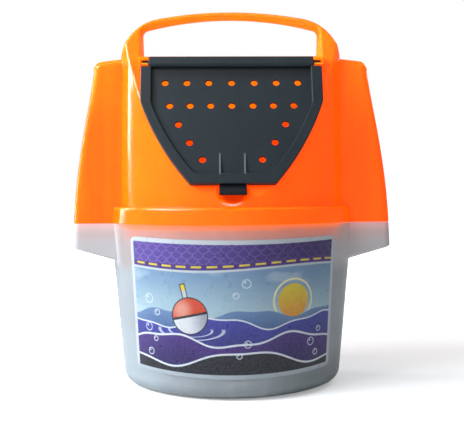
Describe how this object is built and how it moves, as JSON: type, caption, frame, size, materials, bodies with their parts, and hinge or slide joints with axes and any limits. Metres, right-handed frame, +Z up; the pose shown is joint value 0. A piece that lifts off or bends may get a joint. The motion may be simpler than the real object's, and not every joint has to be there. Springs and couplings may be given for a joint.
{
  "type": "flow-through bait bucket",
  "caption": "Flow-through bait bucket: translucent white tub, orange upper shell with side float pods and arched carry handle, and a perforated black hinged door with a snap latch.",
  "frame": {"origin": "on the floor, under the middle of the bounding box", "axes": "+Z up; -Y is the front, where the door is; +X is to the right of someone who looks at the front"},
  "size_m": [0.2644, 0.138, 0.3122],
  "materials": {
    "milky_plastic": "satin, translucent",
    "orange_plastic": "gloss, slightly translucent",
    "black_plastic": "satin with a fine moulded grain",
    "foam": "closed-cell foam",
    "label_film": "printed film"
  },
  "bodies": {
    "bucket": {"lower_tub": "milky_plastic", "upper_shell": "orange_plastic", "float_insert_left": "foam", "float_insert_right": "foam", "front_label": "label_film"},
    "door": {"door_panel": "black_plastic"},
    "latch": {"door_latch": "black_plastic"}
  },
  "joints": [
    {"name": "door_hinge", "type": "hinge", "parent": "bucket", "child": "door", "pos_m": [0, -0.02198, 0.26634], "axis": [-1, 0, 0], "range_deg": [0, 155]},
    {"name": "latch_flex", "type": "hinge", "parent": "door", "child": "latch", "pos_m": [0, -0.05777, 0.16859], "axis": [-1, 0, 0], "range_deg": [0, 12], "stiffness_Nm_per_rad": 0.02}
  ]
}
